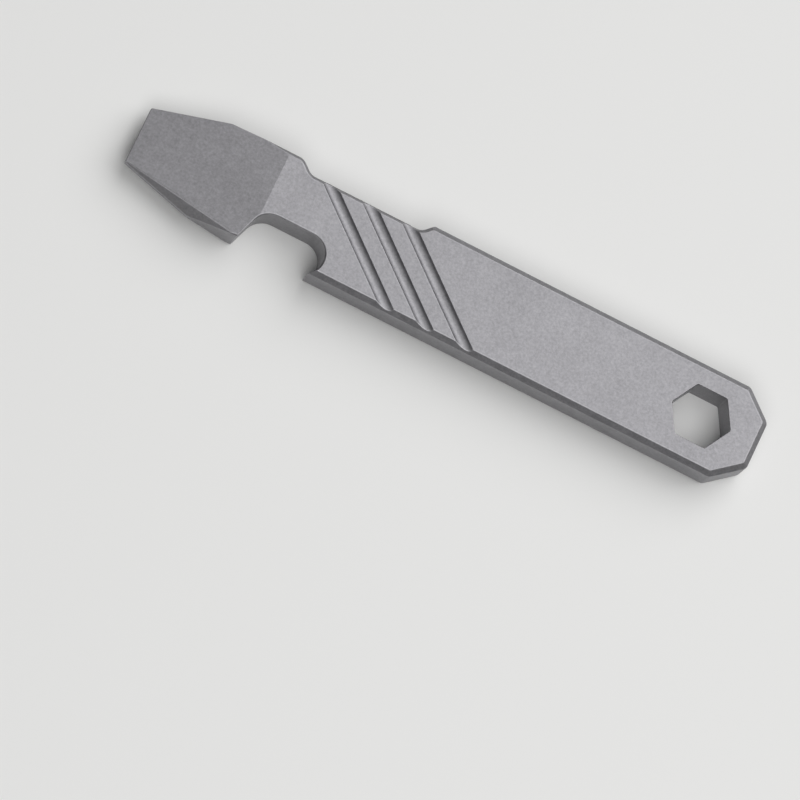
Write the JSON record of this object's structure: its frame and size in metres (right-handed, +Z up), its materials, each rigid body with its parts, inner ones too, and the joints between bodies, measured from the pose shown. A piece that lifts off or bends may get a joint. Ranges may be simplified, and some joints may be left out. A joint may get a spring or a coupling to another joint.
{
  "type": "keychain bottle opener",
  "caption": "Solid titanium pocket bar that opens bottles: a cap-lifting notch, a chisel pry tip, grip grooves, a thumb recess and a hexagonal bit hole in the tail.",
  "frame": {"origin": "middle of the underside, on the surface that the bar lies on", "axes": "+X along the bar to the tail with the bit hole, +Y to the edge with the thumb recess, +Z up through the thickness"},
  "size_m": [0.079, 0.0118, 0.005],
  "materials": {
    "titanium": "tumbled and blasted bare titanium, matte mid grey, with brighter worn edges"
  },
  "bodies": {
    "root": {"opener_bar": "titanium"}
  },
  "joints": []
}
